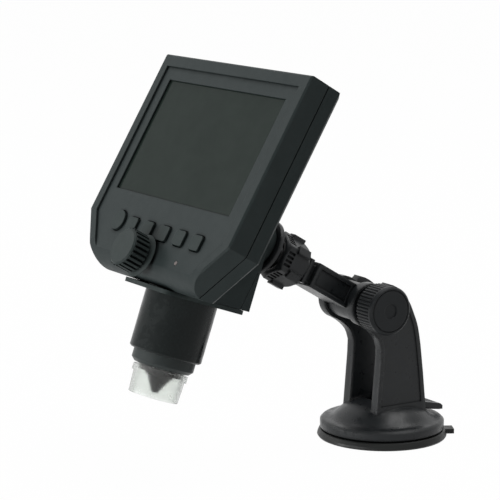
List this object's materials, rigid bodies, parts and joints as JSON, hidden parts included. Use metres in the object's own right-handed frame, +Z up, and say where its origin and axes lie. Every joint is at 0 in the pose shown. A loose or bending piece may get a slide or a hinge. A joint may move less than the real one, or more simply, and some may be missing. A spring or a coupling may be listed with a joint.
{
  "type": "portable digital microscope with stand",
  "caption": "Portable digital microscope: flat display head with keys, focus knob and lit lens barrel on a ball-jointed arm, fork and suction base.",
  "frame": {"origin": "centre of the suction cup's underside", "axes": "+Z up from the table, the display faces -Y, +X towards the elbow knob"},
  "size_m": [0.1184, 0.1706, 0.1751],
  "materials": {
    "case_front": "fine matte texture",
    "case_rear": "fine matte texture",
    "window": "clear, glossy",
    "display": "dark display, off",
    "tray": "plain pressed metal",
    "board": "coated board",
    "cell": "plain foil",
    "socket_metal": "plated",
    "light": "diffuse",
    "steel": "plated",
    "brass": "turned",
    "barrel_black": "satin, turned",
    "hood": "frosted",
    "leds": "diffuse",
    "chip": "smooth",
    "keys": "matte",
    "knob": "moulded",
    "gear": "acetal",
    "carrier": "matt black",
    "lens": "coated",
    "stand_black": "satin moulded",
    "friction": "moulded",
    "rubber": "soft, smooth"
  },
  "bodies": {
    "stand": {"fork_base": "stand_black", "suction_cup": "rubber", "lever_pin": "steel", "pivot_bolt": "steel", "elbow_nut": "steel"},
    "lever": {"lock_lever": "stand_black"},
    "stem": {"pull_stem": "steel"},
    "arm": {"arm": "stand_black", "elbow_washers": "friction"},
    "elbow_knob_turn": {"elbow_knob": "stand_black"},
    "nut": {"collar_nut": "stand_black"},
    "ball_seat": {"friction_cup": "friction"},
    "ball": {"ball_stud": "stand_black", "mount_disc": "stand_black", "camera_screw": "steel"},
    "head": {"front_shell": "case_front", "rear_shell": "case_rear", "rear_cover": "case_rear", "bottom_plate": "case_rear", "window_lens": "window", "lcd_panel": "display", "lcd_tray": "tray", "main_board": "board", "battery": "cell", "key_board": "board", "key_switches": "chip", "usb_socket": "socket_metal", "card_socket": "socket_metal", "status_light": "light", "case_screws": "steel", "mount_insert": "brass", "barrel": "barrel_black", "end_collar": "barrel_black", "clear_hood": "hood", "led_ring": "leds", "sensor_board": "board", "image_sensor": "chip"},
    "focus_drive": {"focus_knob": "knob", "focus_shaft": "steel", "focus_pinion": "gear"},
    "lens_slide": {"lens_carrier": "carrier", "focus_rack": "gear", "lens_cone": "carrier", "objective_lens": "lens"},
    "power_key_cap": {"power_key": "keys"},
    "menu_key_cap": {"menu_key": "keys"},
    "up_key_cap": {"up_key": "keys"},
    "down_key_cap": {"down_key": "keys"},
    "ok_key_cap": {"ok_key": "keys"},
    "record_key_cap": {"record_key": "keys"}
  },
  "joints": [
    {"name": "lock_lever_swing", "type": "hinge", "parent": "stand", "child": "lever", "pos_m": [0, 0.001, 0.0122], "axis": [1, 0, 0], "range_deg": [0, 60]},
    {"name": "stem_travel", "type": "slide", "parent": "stand", "child": "stem", "axis": [0, 0, 1], "range_m": [-0.00157, 0]},
    {"name": "elbow_pivot", "type": "hinge", "parent": "stand", "child": "arm", "pos_m": [0, -0.0166, 0.065], "axis": [1, 0, 0], "range_deg": [-60, 15]},
    {"name": "elbow_knob_turn", "type": "hinge", "parent": "stand", "child": "elbow_knob_turn", "pos_m": [0, -0.0166, 0.065], "axis": [1, 0, 0], "range_deg": [-360, 0]},
    {"name": "collar_nut_turn", "type": "hinge", "parent": "arm", "child": "nut", "pos_m": [0, -0.05596, 0.08842], "axis": [0, 0.8594, -0.5113], "range_deg": [-180, 0]},
    {"name": "ball_spin", "type": "hinge", "parent": "arm", "child": "ball_seat", "pos_m": [0, -0.05596, 0.08842], "axis": [0, 0.8594, -0.5113], "range_deg": [-180, 180]},
    {"name": "ball_tilt", "type": "hinge", "parent": "ball_seat", "child": "ball", "pos_m": [0, -0.05596, 0.08842], "axis": [1, 0, 0], "range_deg": [-25, 25]},
    {"name": "head_swivel", "type": "hinge", "parent": "ball", "child": "head", "pos_m": [0, -0.06645, 0.09466], "axis": [0, 0.8594, -0.5113], "range_deg": [-180, 180]},
    {"name": "focus_turn", "type": "hinge", "parent": "head", "child": "focus_drive", "pos_m": [0, -0.12643, 0.09613], "axis": [0, 0.8594, -0.5113], "range_deg": [-88, 28]},
    {"name": "lens_travel", "type": "slide", "parent": "head", "child": "lens_slide", "axis": [0, 0.3297, 0.9441], "range_m": [-0.00179, 0.00564]},
    {"name": "power_key_press", "type": "slide", "parent": "head", "child": "power_key_cap", "axis": [0, 0.8594, -0.5113], "range_m": [0, 0.0004], "stiffness_N_per_m": 1500, "springref_m": -0.0005},
    {"name": "menu_key_press", "type": "slide", "parent": "head", "child": "menu_key_cap", "axis": [0, 0.8594, -0.5113], "range_m": [0, 0.0004], "stiffness_N_per_m": 1500, "springref_m": -0.0005},
    {"name": "up_key_press", "type": "slide", "parent": "head", "child": "up_key_cap", "axis": [0, 0.8594, -0.5113], "range_m": [0, 0.0004], "stiffness_N_per_m": 1500, "springref_m": -0.0005},
    {"name": "down_key_press", "type": "slide", "parent": "head", "child": "down_key_cap", "axis": [0, 0.8594, -0.5113], "range_m": [0, 0.0004], "stiffness_N_per_m": 1500, "springref_m": -0.0005},
    {"name": "ok_key_press", "type": "slide", "parent": "head", "child": "ok_key_cap", "axis": [0, 0.8594, -0.5113], "range_m": [0, 0.0004], "stiffness_N_per_m": 1500, "springref_m": -0.0005},
    {"name": "record_key_press", "type": "slide", "parent": "head", "child": "record_key_cap", "axis": [0, 0.8594, -0.5113], "range_m": [0, 0.0004], "stiffness_N_per_m": 1500, "springref_m": -0.0005}
  ],
  "couplings": [
    {"joint": "lock_lever_swing", "follows": "stem_travel", "rad_per_m": -666.67},
    {"joint": "focus_turn", "follows": "lens_travel", "rad_per_m": -272.2}
  ]
}
